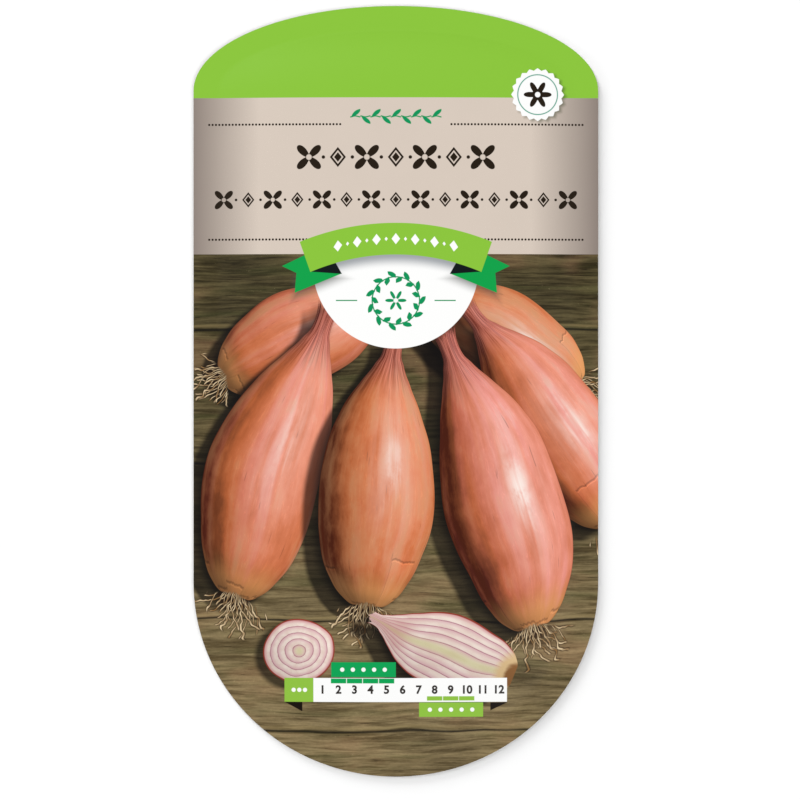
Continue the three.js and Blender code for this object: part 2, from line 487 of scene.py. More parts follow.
def make_boards_group():
    """Weathered boards, their grain running across the packet."""
    (x, y), leaving = new_group("pictured_boards", ("X", "Y"), ["Colour"])
    row = y + noise(vector(x * 0.035, y * 0.09)) * 3
    place = vector(x * 0.1, row * 1.5, 4)
    broad = noise(place, 0.25, 3)
    grain = noise(place, 0.9, 4, 0.65)
    fibre = noise(place, 2.9, 3, 0.6)
    speck = noise(vector(x * 1.3, row * 2.4, 2), 1, 3, 0.7)
    stain_and_shade = noise(vector(x * 0.05, y * 0.08, 9), 1, 3)
    # painted sunlight and shade: the pictured boards are lighter towards the picture's foot and
    # darker towards its top
    height = (y + 75) / 105
    streak = grain.step(0.3, 0.7)
    low = blend_inks(streak, ink(92, 78, 52), ink(150, 132, 96))
    high = blend_inks(streak, ink(50, 44, 29), ink(98, 88, 60))
    wood = overlaid(
        blend_inks(height.step(0.1, 0.95), low, high),
        (broad.step(0.48, 0.68) * 0.32, ink(90, 92, 56)),
        (stain_and_shade.step(0.5, 0.66) * 0.3, ink(142, 108, 82)),
    )
    rough = fibre.spread(0.78, 1.22) * speck.spread(0.74, 1.26)
    # the same noise also lays broad patches of painted sunlight and shade over the boards
    wood = tinted(wood, rough * stain_and_shade.step(0.3, 0.66).spread(0.76, 1.14))
    crack = fibre.step(0.38, 0.33) * grain.step(0.5, 0.42)
    fleck = speck.step(0.66, 0.74) * broad.step(0.42, 0.6)
    wood = overlaid(wood, (crack * 0.6, ink(34, 28, 16)), (fleck * 0.5, ink(196, 180, 140)))
    for joint in BOARD_JOINTS:
        past = row - joint - 1.5
        gap, lip = past.peak(0, 0.42) * 0.85, past.peak(0.75, 0.5) * 0.3
        wood = overlaid(wood, (gap, NIGHT), (lip, ink(160, 140, 96)))
    return finish_group(leaving, wood)


# ---- The front print ----


class Sheet:
    """A print on a card: the place on it as fields, and the inks laid on it so far."""

    def __init__(self, name):
        self.material = bpy.data.materials.new(name)
        self.material.use_nodes = True
        self.tree = self.material.node_tree
        self.tree.nodes.clear()
        self.read_place(Field(add_node(self.tree, "TexCoord").outputs["Object"]))
        self.x, self.y = self.x * (1 / MM), self.y * (1 / MM)
        self.colour = WHITE

    def read_place(self, place):
        split = add_node(self.tree, "SeparateXYZ", place)
        self.x, self.y = (Field(output) for output in split.outputs[:2])

    def pass_place_on(self):
        """Hands the place on through a vector. Cycles then works out the motifs one by one, where
        all at once they would fill its stack."""
        self.read_place(vector(self.x, self.y))

    def lay(self, mask, colour):
        """Prints a colour over what is there, where mask is 1."""
        self.colour = blend_inks(mask, self.colour, colour)

    def box(self, left, right, low, high):
        """1 inside a rectangle, 0 outside."""
        wide = (right - left) / 2 - abs(self.x - (left + right) / 2)
        tall = (high - low) / 2 - abs(self.y - (low + high) / 2)
        return wide.least(tall).edged()

    def left_of(self, x0, y0, x1, y1):
        """How far a point lies to the left of the line from one point to the other."""
        run = math.hypot(x1 - x0, y1 - y0)
        return (self.y - y0) * ((x1 - x0) / run) - (self.x - x0) * ((y1 - y0) / run)

    def polygon(self, points, soft=EDGE):
        """1 inside a polygon that bulges everywhere, its corners anticlockwise."""
        sides = zip(points, (*points[1:], points[0]))
        depth, *others = (self.left_of(*start, *end) for start, end in sides)
        for other in others:
            depth = depth.least(other)
        return depth.edged(soft)


def mirrored(points):
    """A polygon's mirror image about the packet's middle line, still anticlockwise."""
    return tuple((-x, y) for x, y in reversed(points))


def make_tooth_group():
    """Fine paper tooth, and the roughness of an uneven satin varnish over it."""
    (x, y, roughness), leaving = new_group("tooth", ("X", "Y", "Roughness"), ("Rough", "Height"))
    place = vector(x, y)
    tooth = noise(place, 4, 3, 0.6)
    cloud = noise(place, 0.16)
    return finish_group(leaving, cloud * 0.1 + tooth * 0.06 + (roughness - 0.08), tooth)


TOOTH = make_tooth_group()


def finish_card(sheet, roughness=0.42, gloss=0.1, metal=0, relief=None, depth=0.02, bump=0.12):
    """Ends a material: tooth or a relief of its own, its depth in millimetres, under varnish."""
    shader = add_node(sheet.tree, "BsdfPrincipled")
    add_node(sheet.tree, "OutputMaterial", Field(shader.outputs[0]))
    rough, tooth = placed(TOOTH, sheet.x, sheet.y, roughness)
    bumps = add_node(sheet.tree, "Bump")
    feed(bumps, {"Strength": bump, "Distance": depth * MM, "Height": relief or tooth})
    feed(shader, {"Base Color": sheet.colour, "Roughness": rough, "Metallic": metal})
    feed(shader, {"Specular IOR Level": gloss, "Normal": Field(bumps.outputs[0])})
    return sheet.material


def lay_header(sheet):
    """The green crown and the taupe band, which darkens towards the packet's sides."""
    fall = (abs(sheet.x + 0.2) - BAND_EVEN) / (HALF_WIDTH - BAND_EVEN)
    mottle = noise(vector(sheet.x, sheet.y), 0.1, 3)
    band = tinted(blend_inks(fall, TAUPE, TAUPE_EDGE), mottle.spread(0.975, 1.025))
    sheet.colour = blend_inks((sheet.y - CROWN_FOOT).edged(FINE), band, LEAF_GREEN)


RULE_PITCH = 0.698  # from dot to dot
# left end, right end and height
RULES = ((-39, -11.1, 55.3), (11.2, 39.1, 55.3), (-39, -18, 31.46), (18.3, 39.1, 31.46))


def lay_rules(sheet):
    """Dotted rules above and below the title's place."""
    along = sheet.x / RULE_PITCH
    dot = abs(along - along.math("FLOOR") - 0.5) * RULE_PITCH
    for left, right, height in RULES:
        round_dot = root_of_sum(dot, sheet.y - height).step(0.27, 0.18)
        sheet.lay(round_dot * sheet.box(left, right, height - 1, height + 1), DARK)


def petals(u, v, count, size, hollow):
    """How far inside a floret with count petals a point lies, and its distance to the middle."""
    away = root_of_sum(u, v)
    turn = v.math("ARCTAN2", u) * count
    return (turn.math("COSINE") * (1 - hollow) + hollow) * size - away, away


def leaf(u, v, lean, long, wide):
    """How far inside a pointed leaf a point lies. The leaf leans by an angle in degrees."""
    right, up = heading(lean)
    along, aside = u * right + v * up, v * right - u * up
    return (1 - along * along / long**2) * wide - abs(aside)


def between(number, first, last):
    """1 where a whole number is from first to last."""
    return (number - (first - 0.5)).step(0, 0.1) * ((last + 0.5) - number).step(0, 0.1)


def cells(along, pitch, first, last):
    """Splits a line into equal cells: the place in each from its middle, each one's number, and 1
    where the number is from first to last."""
    share = along / pitch
    number = (share + 0.5).math("FLOOR")
    return (share - number) * pitch, number, between(number, first, last)


def parity(number):
    """0 in even cells and 1 in odd ones."""
    return abs(number.math("MODULO", 2))


# Friezes in the title's place: height, pitch, last cell from the middle, and size.
FRIEZES = ((48.5, 6, 3, 2.9), (39.7, 5.1, 7, 2.2))


def lay_frieze(sheet, height, pitch, last, size):
    """Florets and lozenges in turn, with a dot between."""
    u, number, within = cells(sheet.x, pitch, -last, last)
    v = sheet.y - height
    slope = math.sqrt(0.5)
    floret, away = petals((u + v) * slope, (u - v) * slope, 4, size * 1.15, 0.6)
    floret = floret.edged() * away.step(size * 0.17, size * 0.23)
    slant = abs(u) * 1.25 + abs(v) - size * 0.72
    lozenge = slant.edged(-EDGE) * abs(slant + size * 0.3).step(size * 0.05, size * 0.1)
    shape = (parity(number) - 1) * -1 * lozenge + parity(number) * floret
    stop = root_of_sum(abs(u) - pitch / 2, v).step(size * 0.15, size * 0.1)
    inner = abs(sheet.x).step(last * pitch + 0.1, last * pitch)
    sheet.lay(shape.most(stop * inner) * within, DARK)


def lay_title(sheet):
    for frieze in FRIEZES:
        lay_frieze(sheet, *frieze)


def lay_sprig(sheet):
    """A small green sprig between the upper dotted rules."""
    u, number, within = cells(sheet.x, 2.1, -4, 4)
    v = (sheet.y - 56.9) * (parity(number) * -2 + 1)
    shape = leaf(u - 0.2, v - 0.78, 38, 1.3, 0.42)
    stem = 0.13 - abs(v - (u * 3).math("COSINE") * 0.1)
    sheet.lay(shape.most(stem).edged(FINE) * within, SIGN_GREEN)


BADGE_X, BADGE_Y, BADGE_RADIUS, BADGE_TEETH = 29.4, 61.52, 5, 20


def lay_badge(sheet):
    """A white disc with a toothed edge, a thin ring, a rosette and a soft shadow."""
    u, v = sheet.x - BADGE_X, sheet.y - BADGE_Y
    for shift, blur, colour, share in ((0.5, 0.6, ink(70, 80, 50), 0.6), (0, 0.05, WHITE, 1)):
        x, y = u - shift, v + shift * 0.7
        turn = y.math("ARCTAN2", x) * (BADGE_TEETH / math.tau)
        tooth = abs(turn - turn.math("FLOOR") - 0.5)
        disc = (root_of_sum(x, y) - tooth).step(BADGE_RADIUS + blur, BADGE_RADIUS - blur)
        sheet.lay(disc * share, colour)
    rosette, away = petals(u, v, 6, 2.9, 0.7)
    sheet.lay(away.peak(4.13, 0.21), TEAL)
    sheet.lay(rosette.edged() * away.step(0.5, 0.62), DARK)


# The ribbon's edges are arcs: half width, height at the ends, height in the middle.
RIBBON_UPPER = (19.9, 30.95, 34.87)
RIBBON_LOWER = (17.7, 24.7, 28.3)
TAIL = ((-20.95, 20.4), (-11.25, 24.35), (-18.9, 28.2), (-20.6, 24.5))
TAIL_TIP = ((-23.6, 25.95), (-20.6, 24.5), (-18.9, 24.6), (-18.9, 28.2))
FOLD = ((-17.7, 24.78), (-11.15, 24.3), (-12.8, 27.2))
TAIL_SHADOW = tuple((x, y - 0.97) for x, y in TAIL)
EMBLEM_RADIUS, EMBLEM_Y = 17.2, 26.05
WREATH_RADIUS, WREATH_Y, WREATH_LEAVES = 4.9, 18.8, 22


def arc_height(sheet, half, ends, middle):
    """How far a point lies above an arc that rises in the middle."""
    rise = middle - ends
    radius = (half * half + rise * rise) / (2 * rise)
    arc = (radius * radius - sheet.x * sheet.x).most(0).math("SQRT") + (middle - radius)
    return sheet.y - arc


def lay_emblem(sheet):
    """A white disc below the ribbon, shaded where the ribbon lies over it, with a green wreath."""
    away = root_of_sum(sheet.x, sheet.y - EMBLEM_Y)
    disc = away.step(EMBLEM_RADIUS + 0.05, EMBLEM_RADIUS - 0.05) * sheet.y.step(31.2, 31.1)
    shade = arc_height(sheet, *RIBBON_LOWER).step(-2.9, -0.1)
    sheet.lay(disc, blend_inks(shade, WHITE, ink(165, 169, 173)))
    v = sheet.y - WREATH_Y
    floret, away = petals(sheet.x, v, 6, 2.2, 0.6)
    u, number, _ = cells(v.math("ARCTAN2", sheet.x), math.tau / WREATH_LEAVES, -99, 99)
    out = away - WREATH_RADIUS
    sprig = leaf(u * away, out * (parity(number) * -2 + 1) - 0.55, 35, 1.4, 0.48)
    green = sprig.most(0.13 - abs(out)).most(floret).edged() * away.step(0.4, 0.55)
    for left, right in ((-12.4, -8), (8, 12.4)):
        green = green.most(sheet.box(left, right, 18.68, 18.92))
    sheet.lay(green, SIGN_GREEN)


def lay_ribbon(sheet):
    """A light green ribbon in an arc, with dark green tails folded behind it."""
    for shape, soft, share, colour in (
        (TAIL_SHADOW, 1.6, 0.78, ink(72, 76, 72)),
        (TAIL_TIP, EDGE, 1, DEEP_GREEN),
        (TAIL, EDGE, 1, DEEP_GREEN),
        (FOLD, EDGE, 1, ink(24, 30, 32)),
    ):
        for side in (shape, mirrored(shape)):
            sheet.lay(sheet.polygon(side, soft) * share, colour)
    over = -arc_height(sheet, *RIBBON_UPPER)
    under = arc_height(sheet, *RIBBON_LOWER)
    ends = (RIBBON_LOWER[:2], RIBBON_UPPER[:2])
    left, right = (sheet.left_of(*start, *end) for start, end in (mirrored(ends), ends))
    sheet.lay(over.least(under).least(left).least(right).edged(FINE), LEAF_GREEN)
    # white lozenges and dots along its middle
    u, number, within = cells(sheet.x, 2, -6, 6)
    size = parity(number) * -0.72 + 1.15
    lozenge = size - (abs(u) * 1.3 + abs((under - over) * 0.5))
    sheet.lay(lozenge.edged(FINE) * within, WHITE)


CALENDAR_LEFT, CALENDAR_RIGHT = -17.1, 23.05
CALENDAR_LOW, CALENDAR_HIGH = -64.4, -59.4
MONTH_PITCH = 3.32
MONTH_FIRST = -15.2  # the first month's middle
KEY_LEFT, KEY_DOTS = -23.1, (-21.2, -20.02, -18.84)
FOLDS = (
    ((KEY_LEFT, -64.4), (-19.4, -66.4), (-19.4, -64.4)),
    ((19.6, -66.2), (23.2, -64.5), (19.6, -64.5)),
)
# Each season's block, left, right, low and high, then its bars in the same way.
SOWING = (-13.4, 0, -59.2, -56.1), (-13.52, -0.24, -60.52, -59.5), ink(5, 165, 88)
HARVEST = (4.8, 18.1, -67.5, -64.5), (6.4, 16.36, -64.1, -63.2), SPRING_GREEN


def lay_calendar(sheet):
    """A strip for the twelve months, with green bars for sowing above and harvest below."""
    for fold in FOLDS:
        sheet.lay(sheet.polygon(fold), ink(32, 26, 22))
    sheet.lay(sheet.box(KEY_LEFT, CALENDAR_LEFT, CALENDAR_LOW, CALENDAR_HIGH), SPRING_GREEN)
    sheet.lay(sheet.box(CALENDAR_LEFT, CALENDAR_RIGHT, CALENDAR_LOW, CALENDAR_HIGH), WHITE)
    along = (sheet.x - MONTH_FIRST) / MONTH_PITCH + 0.5
    gap = abs(along - along.math("FLOOR") - 0.5).step(0.5, 0.46)
    dots = [(x, (CALENDAR_LOW + CALENDAR_HIGH) / 2) for x in KEY_DOTS]
    for block, bars, colour in (SOWING, HARVEST):
        sheet.lay(sheet.box(*block), colour)
        sheet.lay(sheet.box(*bars) * gap, colour)
        middle = (block[0] + block[1]) / 2
        dots += [(middle + step * 2.2, (block[2] + block[3]) / 2) for step in range(-2, 3)]
    for dot_x, dot_y in dots:
        sheet.lay(root_of_sum(sheet.x - dot_x, sheet.y - dot_y).step(0.5, 0.38), WHITE)


# Shallots of the picture, from the back to the front: root x and y, heading in degrees, length,
# girth, bend, random draw, and for whole ones pinkness.
SHALLOTS = (
    (-36, 3, 24, 44, 10, 1.2, 1.3, 0.6),
    (38, 1, 152, 44, 10.2, -1, 6.1, -0.1),
    (45, -27, 124, 54, 11, -1.2, 4.4, 0.7),
    (-33.5, -42.5, 72, 63, 12, 1.6, 2.4, 0.6),
    (28.5, -49, 106, 64, 12.4, -1.4, 8.2, 0.85),
    (-6, -44.5, 84, 57, 12, 0.8, 3.7, 0.15),
)
HALF = (24.5, -59, 158, 33, 8.2, 0.6, 5)
SLICE = (-20, -53.8, 7.4, 2)  # centre x and y, radius, random draw
ROOT_REACH = 9  # how far roots stand out
REACH_STEPS = 16


def shallot_reach(root_x, root_y, along_x, along_y, length, girth, bend, *_):
    """Discs that hold a pictured shallot and its shadow, from its roots to its tip."""
    discs = []
    for step in range(REACH_STEPS + 1):
        far = step / REACH_STEPS * (length + ROOT_REACH) - ROOT_REACH
        share = max(far / length, 0)
        full = max(half for place, half in SHALLOT_PROFILE if abs(place - share) < 0.1)
        wide = girth * full + abs(bend) + 2
        x, y = root_x + along_x * far, root_y + along_y * far
        left, low = x + SHADOW_SHIFT[0], y + SHADOW_SHIFT[1]
        discs += [(x, x, y, y, wide), (left, left, low, low, wide)]
    return discs


def shallot_motif(shadow, body, row):
    """A pictured shallot over its shadow, which is crisp where it falls and soft close under."""
    root_x, root_y, turn, *rest = row
    values = (root_x, root_y, *heading(turn), *rest)
    cast = values[:8]  # without pinkness

    def lay(sheet):
        for shift, blur, share in SHADOW_COATS:
            cast_x, cast_y = (away * shift for away in SHADOW_SHIFT)
            [shade] = placed(shadow, sheet.x - cast_x, sheet.y - cast_y, *cast, blur)
            sheet.lay(shade * share, ink(25, 13, 7))
        colour, mask = placed(body, sheet.x, sheet.y, *values)
        sheet.lay(mask, colour)

    return shallot_reach(*values), lay


def slice_motif(body):
    """The pictured slice over its shadow."""

    def lay(sheet):
        colour, mask, shade = placed(body, sheet.x, sheet.y, *SLICE)
        sheet.lay(shade * 0.8, ink(20, 13, 7))
        sheet.lay(mask, colour)

    x, y, radius, _ = SLICE
    return [(x, x, y, y, radius * 1.3 + 2)], lay


# The print is made in patches, so that each one's material holds only what reaches into it:
# the rows' heights, and the columns of the rows in the picture and in the header.
PICTURE_ROWS = (-80.1, -50, -30, -10, 9, BAND_FOOT)
HEADER_ROWS = (BAND_FOOT, 36.4, 53.6, 69, 80.1)
PICTURE_COLUMNS = (-42.1, -24, -8, 8, 24, 42.1)
HEADER_COLUMNS = (-42.1, -22.5, 22.5, 42.1)


def list_patches():
    """The left, right, low and high ends of each patch of the front print."""
    patches = []
    for rows, columns in ((PICTURE_ROWS, PICTURE_COLUMNS), (HEADER_ROWS, HEADER_COLUMNS)):
        for low, high in zip(rows, rows[1:]):
            patches += [(*ends, low, high) for ends in zip(columns, columns[1:])]
    return patches


def reaches(reach, patch):
    """Whether a motif reaches into a patch. Its reach is boxes with how far they swell out."""
    patch_left, patch_right, patch_low, patch_high = patch
    for left, right, low, high, swell in reach:
        beside = max(left - patch_right, patch_left - right, 0)
        above = max(low - patch_high, patch_low - high, 0)
        if math.hypot(beside, above) <= swell:
            return True
    return False


def list_motifs():
    """All that is printed on the front over its ground, in the order in which it is laid, each
    with its reach."""
    shadow, whole = make_shadow_group(), make_shallot_group()
    return [
        *(shallot_motif(shadow, whole, row) for row in SHALLOTS),
        slice_motif(make_slice_group()),
        shallot_motif(shadow, make_half_group(), HALF),
        ([(-40, 40, 31, 32.4, 0), (-40, 40, 54.8, 56.2, 0)], lay_rules),
        ([(-38, 38, 37, 52, 0)], lay_title),
        ([(-10, 10, 54, 60, 0)], lay_sprig),
        ([(BADGE_X, BADGE_X, BADGE_Y, BADGE_Y, 7)], lay_badge),
        ([(0, 0, 26.1, 26.1, 17.5)], lay_emblem),
        ([(-24.5, 24.8, 19, 36, 0)], lay_ribbon),
        ([(-23.5, 23.8, -68, -55.5, 0)], lay_calendar),
    ]


def make_front_print(patches):
    """A material for each patch of the printed face."""
    motifs, boards = list_motifs(), make_boards_group()
    materials = []
    for number, patch in enumerate(patches):
        sheet = Sheet(f"front_print_{number}")
        if patch[2] >= BAND_FOOT:
            lay_header(sheet)
        else:
            [sheet.colour] = placed(boards, sheet.x, sheet.y)
        for reach, lay in motifs:
            if reaches(reach, patch):
                sheet.pass_place_on()
                lay(sheet)
        materials.append(finish_card(sheet))
    return materials


def make_core():
    """Bare white card, as at the cut edges."""
    sheet = Sheet("card_core")
    fibre = noise(vector(sheet.x, sheet.y), 3, 3)
    sheet.colour = blend_inks(fibre, ink(226, 220, 208), ink(246, 243, 236))
    return finish_card(sheet, roughness=0.75)


# ---- The back print ----

COLUMNS = ((-32, -1.6), (1.6, 32))  # the small print's left and right ends
LINES_TOP, LINE_PITCH, LINES = 49.6, 2.05, 15


def lay_small_print(sheet):
    """Two columns of plain grey dashes in the small print's place. Every fifth line is left out,
    and the one before it is short."""
    v, number, within = cells(LINES_TOP - sheet.y, LINE_PITCH, 0, LINES - 1)
    turn = number.math("MODULO", 5)
    for left, right in COLUMNS:
        start = number * 9.7 + left
        gap = noise(sheet.x * 0.45 + start, 1, 1).peak(0.5, 0.03)
        ragged = noise(start, 1, 0) * 6 + turn.step(2.4, 2.6) * 11
        row = (0.33 - abs(v)).edged(0.07) * within * turn.step(3.6, 3.4)
        row = row * (sheet.x - left).step(0, 0.1) * (right - ragged - sheet.x).step(0, 0.1)
        sheet.lay(row * (1 - gap), GREY_INK)


def lay_advice(sheet):
    """Four round signs: sun, water, a sprout and a flower."""
    u, number, within = cells(sheet.x - 6.5, 13, -2, 1)
    v = sheet.y - 12
    away = root_of_sum(u, v)
    sheet.lay(away.step(4.55, 4.45) * within, LEAF_GREEN)
    sheet.lay(away.peak(3.95, 0.12) * within, WHITE)
    sun = petals(u, v, 10, 2.9, 0.82)[0].least((away - 1.45) * 9).most(1.15 - away)
    drop = (1.5 - root_of_sum(u, v + 0.7)).most(leaf(u, v - 0.2, 90, 2.5, 1.25).least(v + 0.6))
    stem = (0.2 - abs(u)).least(1.9 - abs(v + 0.4))
    sprout = leaf(abs(u) - 1.25, v - 0.7, 38, 1.6, 0.7).most(stem)
    flower = petals(u, v, 6, 2.8, 0.66)[0].least((away - 0.6) * 9)
    for place, sign in zip((-2, -1, 0, 1), (sun, drop, sprout, flower)):
        here = abs(number - place).step(0.5, 0.4) * within
        sheet.lay(sign.edged() * here, WHITE)


def lay_months(sheet):
    """A row of months for sowing and one for harvest, with the right months in green."""
    u, number, within = cells(sheet.x + 2.6, 5.2, -5, 6)
    for height, first, last, colour in ((1.6, -4, -1, DEEP_GREEN), (-4, 2, 4, SPRING_GREEN)):
        square = (2.2 - abs(u).most(abs(sheet.y - height))).edged(FINE) * within
        sheet.lay(square, GREY)
        sheet.lay(square * between(number, first, last), colour)


SOIL_TOP, SOIL_FOOT, STAGE_PITCH = -34, -51, 13
BLADES = ((90, 1), (79, 0.9), (102, 0.92), (68, 0.72), (113, 0.68))  # lean and length
THREADS = ((-90, 1), (-68, 0.8), (-112, 0.8))


def lay_growth(sheet):
    """Soil in section, with the plant in five stages from the seed to the full bulb."""
    soil = noise(vector(sheet.x, sheet.y), 1.3, 3)
    ground = sheet.box(-33, 33, SOIL_FOOT, SOIL_TOP)
    sheet.lay(ground, blend_inks(soil, ink(96, 70, 46), ink(168, 134, 98)))
    u, number, within = cells(sheet.x, STAGE_PITCH, -2, 2)
    grown = (number + 2) / 4
    started = number.step(-1.6, -1.4) * within
    depth = grown * 3 + 2.2
    v = sheet.y - SOIL_TOP
    for spray, foot, size, girth, colour in (
        (THREADS, -depth - grown * 2.6, 2.3, 0.12, ink(226, 206, 170)),
        (BLADES, depth * -0.6, 11, 0.62, DEEP_GREEN),
    ):
        for lean, share in spray:
            long = (grown * size + 0.4) * share
            right, up = heading(lean)
            blade = leaf(u - long * right, v - foot - long * up, lean, long, grown * girth + 0.06)
            sheet.lay(blade.edged() * started, colour)
    wide, tall = grown * 3.1 + 0.75, grown * 3.6 + 0.75
    bulb = root_of_sum(u / wide, (v + depth) / tall)
    copper = blend_inks((u / wide).step(-1, 1), ink(150, 76, 46), ink(236, 152, 112))
    sheet.lay(bulb.step(1.03, 0.97) * within, blend_inks(started, DARK, copper))


def make_back_print():
    """The back: the crown, a frieze, small print, signs, months, growth and a blank label."""
    sheet = Sheet("back_print")
    sheet.colour = PALE
    sheet.lay((sheet.y - CROWN_FOOT).edged(FINE), LEAF_GREEN)
    for box, colour in (
        ((-50, 50, CROWN_FOOT - 2.2, CROWN_FOOT - 1.2), TAUPE),
        ((-50, 50, -90, -57), TAUPE),
        ((-14, 14, -70.5, -61.5), PALE),
    ):
        sheet.lay(sheet.box(*box), colour)
    lay_frieze(sheet, 54.6, 5.1, 5, 1.8)
    for lay in (lay_small_print, lay_advice, lay_months, lay_growth):
        sheet.pass_place_on()
        lay(sheet)
    return finish_card(sheet, roughness=0.6)


# ---- The cards ----

TOP_STEPS, SIDE_STEPS, BOTTOM_STEPS = 64, 40, 84


def card_ring(inset=0, share=1):
    """The packet's outline drawn in by inset, and then to a share of the way to its spine."""
    across = (HALF_WIDTH - inset) * share
    ring = []
    for start, steps, rise, centre, after in (
        (0, TOP_STEPS, TOP_RISE, TOP_CENTRE, BOTTOM_CENTRE),
        (math.pi, BOTTOM_STEPS, BOTTOM_RISE, BOTTOM_CENTRE, TOP_CENTRE),
    ):
        for step in range(steps + 1):
            turn = start + math.pi * step / steps
            up = (rise - inset) * share * math.sin(turn)
            ring.append((across * math.cos(turn), centre + up))
        side = across if start else -across
        for step in range(1, SIDE_STEPS):
            ring.append((side, centre + (after - centre) * (step / SIDE_STEPS)))
    return ring


def dome_height(x, y):
    """How far the front card stands above its rim."""
    past = y - TOP_CENTRE if y > TOP_CENTRE else min(y - BOTTOM_CENTRE, 0)
    reach = (TOP_RISE if y > TOP_CENTRE else BOTTOM_RISE) - SEAL
    share = min(math.hypot(x / (HALF_WIDTH - SEAL), past / reach), 1)
    fade = 1 - BULGE_FADE * ((y - SACHET_Y) / HALF_HEIGHT) ** 2
    return BULGE * (1 - share**BULGE_POWER) * fade


def card_mesh(count, height_at, low):
    """A sheet from the packet's outline through a few rings across its seal, and count rings from
    there to its spine, each joined to the next."""
    rings = [card_ring(inset) for inset in (0, 0.06, SEAL * 0.5, SEAL - 0.4)]
    rings += [card_ring(SEAL, 1 - step / count) for step in range(count + 1)]
    mesh = bmesh.new()
    loops = []
    for ring in rings:
        points = [mesh.verts.new((x, y, height_at(x, y))) for x, y in ring]
        pairs = zip(points, points[1:] + points[:1])
        loops.append([mesh.edges.new(pair) for pair in pairs])
    for outer, inner in zip(loops, loops[1:]):
        bmesh.ops.bridge_loops(mesh, edges=outer + inner)
    bmesh.ops.remove_doubles(mesh, verts=mesh.verts, dist=1e-4)
    bmesh.ops.recalc_face_normals(mesh, faces=mesh.faces)
    bmesh.ops.translate(mesh, vec=(0, 0, low + CARD), verts=mesh.verts)
    return mesh


def cut_sheet(mesh, place, direction):
    """Cuts a sheet along a straight line, so that a material can end there."""
    parts = mesh.verts[:] + mesh.edges[:] + mesh.faces[:]
    bmesh.ops.bisect_plane(mesh, geom=parts, dist=1e-5, plane_co=place, plane_no=direction)


def link(item):
    bpy.context.scene.collection.objects.link(item)
    return item


def object_from(mesh, name, materials):
    data = bpy.data.meshes.new(name)
    mesh.to_mesh(data)
    mesh.free()
    for material in materials:
        data.materials.append(material)
    return link(bpy.data.objects.new(name, data))


def piece_from(mesh, name, materials, node):
    """Makes a piece of a bmesh that is in millimetres, and lets it stand for a CAD node."""
    bmesh.ops.scale(mesh, vec=(MM, MM, MM), verts=mesh.verts)
    piece = object_from(mesh, name, materials)
    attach(piece, "root")
    if node:
        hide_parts(node)


BAKE_MAP = "OFBake"
RIM_STRIPS = (0.974, 0.986)  # where the rim's left and right halves lie in the map


def thicken(mesh):
    """Makes a card of a sheet: gives the faces of its upper side, its lower side and its rim."""
    upper = mesh.faces[:]
    mesh.normal_update()
    if sum(face.normal.z for face in upper) < 0:
        bmesh.ops.reverse_faces(mesh, faces=upper)
    copy = bmesh.ops.duplicate(mesh, geom=mesh.verts[:] + mesh.edges[:] + upper)["geom"]
    lower = [part for part in copy if isinstance(part, bmesh.types.BMFace)]
    points = [part for part in copy if isinstance(part, bmesh.types.BMVert)]
    bmesh.ops.translate(mesh, vec=(0, 0, -CARD), verts=points)
    bmesh.ops.reverse_faces(mesh, faces=lower)
    open_edges = [edge for edge in mesh.edges if edge.is_boundary]
    rim = bmesh.ops.bridge_loops(mesh, edges=open_edges)["faces"]
    bmesh.ops.recalc_face_normals(mesh, faces=mesh.faces)
    for face in upper + lower:
        face.smooth = True
    return upper, lower, rim


def map_print(mesh, printed, plain, rim, foot):
    """Lays out a map in which the printed side has most of the room."""
    layer = mesh.loops.layers.uv.new(BAKE_MAP)

    def lay_out(faces, across_at):
        for face in faces:
            for corner in face.loops:
                place = corner.vert.co
                up = 0.004 + 0.496 * (place.y / HALF_HEIGHT + 1)
                corner[layer].uv = (across_at(face, place), up)

    def rim_at(face, place):
        strip = RIM_STRIPS[face.calc_center_median().x > 0]
        return strip + 0.01 * (place.z - foot) / CARD

    lay_out(printed, lambda face, place: 0.004 + 0.9 * (place.x / HALF_WIDTH + 1) / 2)
    lay_out(plain, lambda face, place: 0.91 + 0.06 * (place.x / HALF_WIDTH + 1) / 2)
    lay_out(rim, rim_at)


def make_front_card(core):
    """The domed front card: printed above, bare below and at its cut edge."""
    mesh = card_mesh(36, dome_height, FRONT_LOW.z)
    for column in {*PICTURE_COLUMNS[1:-1], *HEADER_COLUMNS[1:-1]}:
        cut_sheet(mesh, (column, 0, 0), (1, 0, 0))
    for row in {*PICTURE_ROWS[1:], *HEADER_ROWS[1:-1]}:
        cut_sheet(mesh, (0, row, 0), (0, 1, 0))
    upper, lower, rim = thicken(mesh)
    map_print(mesh, upper, lower, rim, FRONT_LOW.z)
    patches = list_patches()
    for face in upper:
        centre = face.calc_center_median()
        face.material_index = next(
            number
            for number, (left, right, low, high) in enumerate(patches)
            if left <= centre.x <= right and low <= centre.y <= high
        )
    for face in lower + rim:
        face.material_index = len(patches)
    piece_from(mesh, "front_card", [*make_front_print(patches), core], "front_panel")


def make_back_card(core):
    """The flat back card: printed below, bare above and at its cut edge."""
    mesh = card_mesh(6, lambda x, y: 0, BACK_LOW.z)
    upper, lower, rim = thicken(mesh)
    map_print(mesh, lower, upper, rim, BACK_LOW.z)
    for face in upper + rim:
        face.material_index = 1
    piece_from(mesh, "back_card", [make_back_print(), core], "back_panel")


NUMBER_HEIGHT = 2.35  # the size of the type, whose figures are 0.72 of it
NUMBER_WEIGHT = 0.08  # how far the figures' outlines are drawn out
INK_FILM = 0.012


